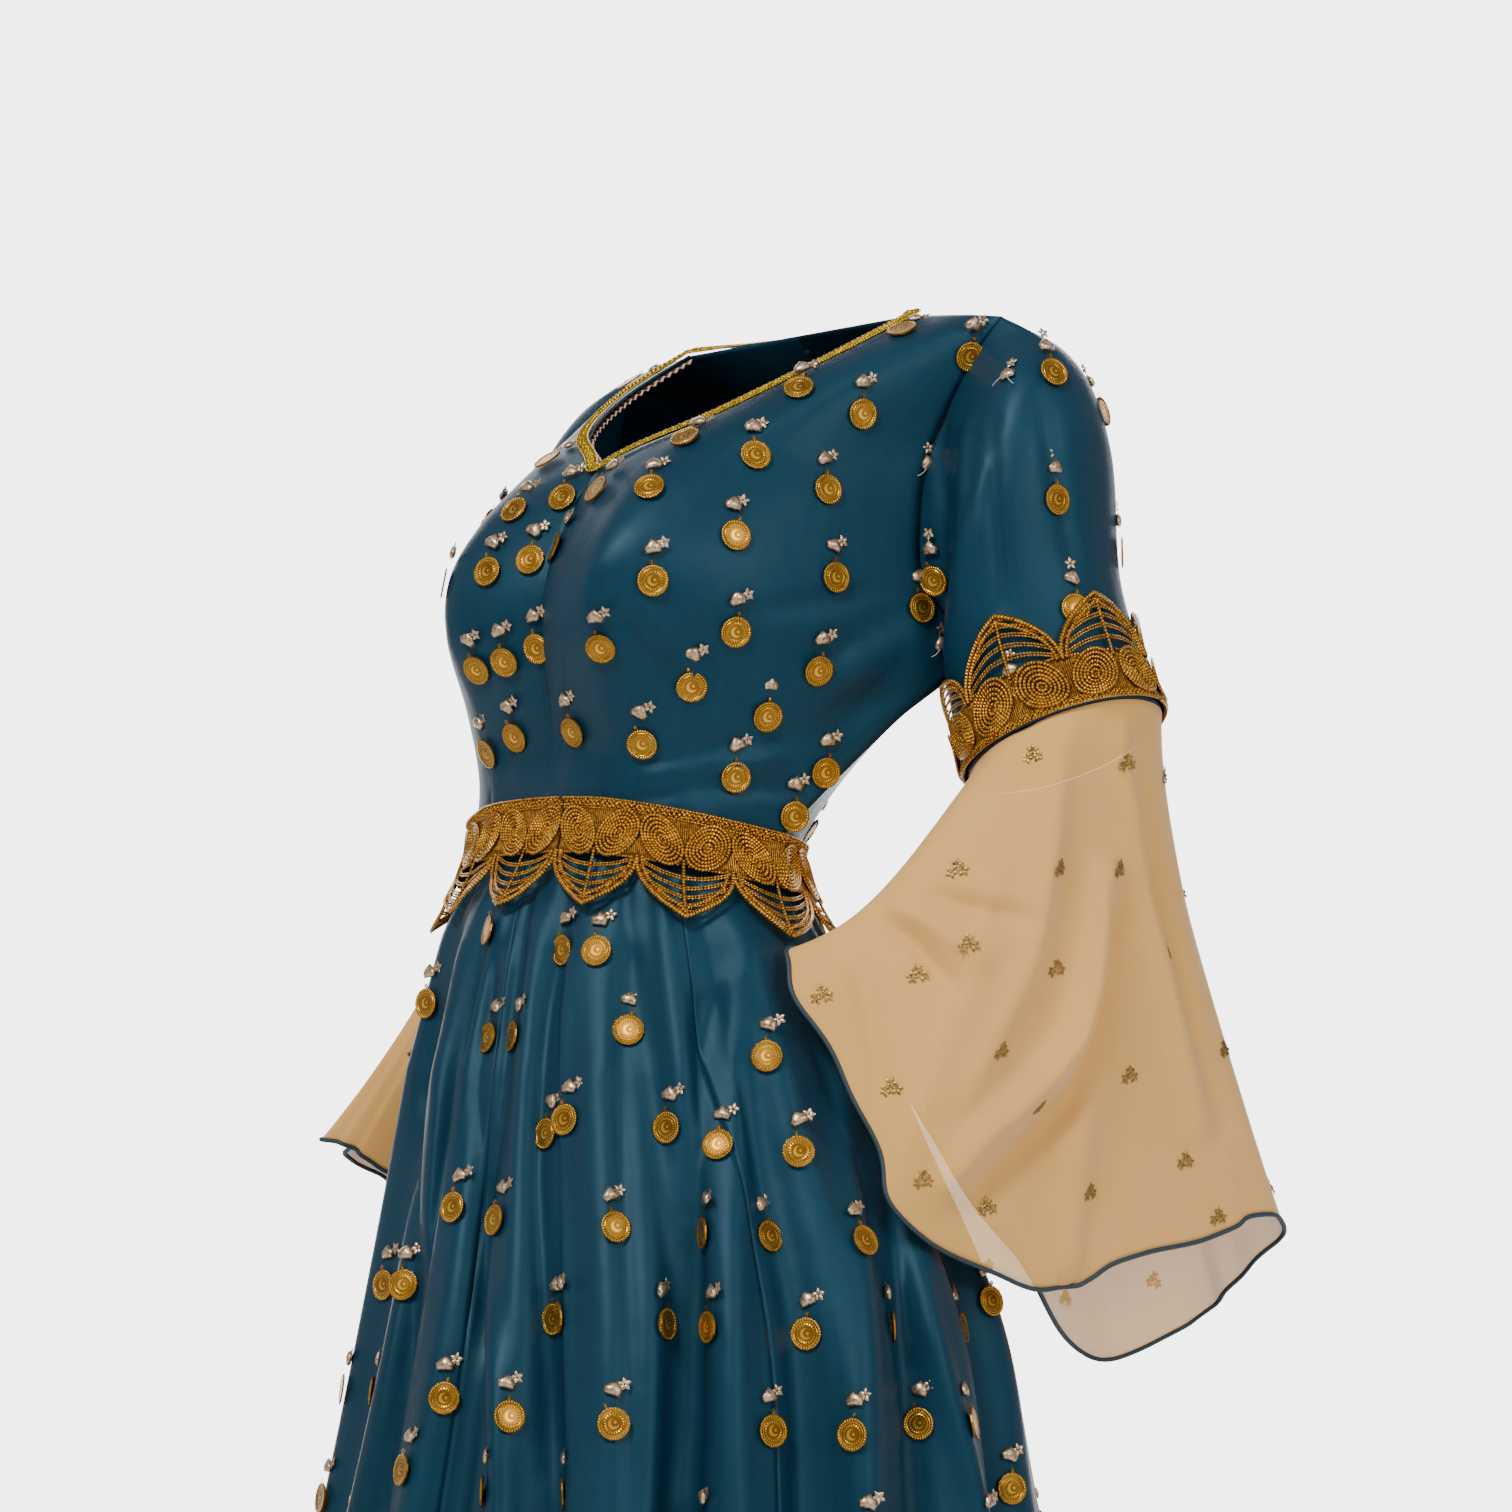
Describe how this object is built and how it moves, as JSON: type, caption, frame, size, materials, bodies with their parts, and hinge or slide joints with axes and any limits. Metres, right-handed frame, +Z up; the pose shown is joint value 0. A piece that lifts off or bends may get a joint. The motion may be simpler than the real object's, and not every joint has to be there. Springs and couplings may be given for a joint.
{
  "type": "embroidered party dress",
  "caption": "Worn V-neck satin gown with a darted bodice, pleated skirt, chiffon bell flounces on short sleeves, gold leaf lace and coin pendants.",
  "frame": {"origin": "midway between the wearer's two shoulder points, where the shoulders carry the gown", "axes": "+Z up, the front faces -Y, the wearer's left is +X"},
  "size_m": [0.7577, 0.7498, 1.3962],
  "materials": {
    "teal_satin": "satin",
    "chiffon": "sheer, matte",
    "hem_thread": "matte",
    "gold_trim": "metallic thread",
    "facing": "satin"
  },
  "bodies": {
    "root": {"bodice_front": "teal_satin", "bodice_back_left": "teal_satin", "bodice_back_right": "teal_satin", "sleeve_left": "teal_satin", "sleeve_right": "teal_satin", "flounce_left": "chiffon", "flounce_edge_left": "hem_thread", "flounce_right": "chiffon", "flounce_edge_right": "hem_thread", "skirt_panel_1": "teal_satin", "skirt_panel_2": "teal_satin", "skirt_panel_3": "teal_satin", "skirt_panel_4": "teal_satin", "skirt_panel_5": "teal_satin", "skirt_panel_6": "teal_satin", "neck_facing": "facing", "neck_braid": "gold_trim", "waist_lace_1": "gold_trim", "waist_lace_2": "gold_trim", "sleeve_lace_left_1": "gold_trim", "sleeve_lace_left_2": "gold_trim", "sleeve_lace_right_1": "gold_trim", "sleeve_lace_right_2": "gold_trim"}
  },
  "joints": []
}
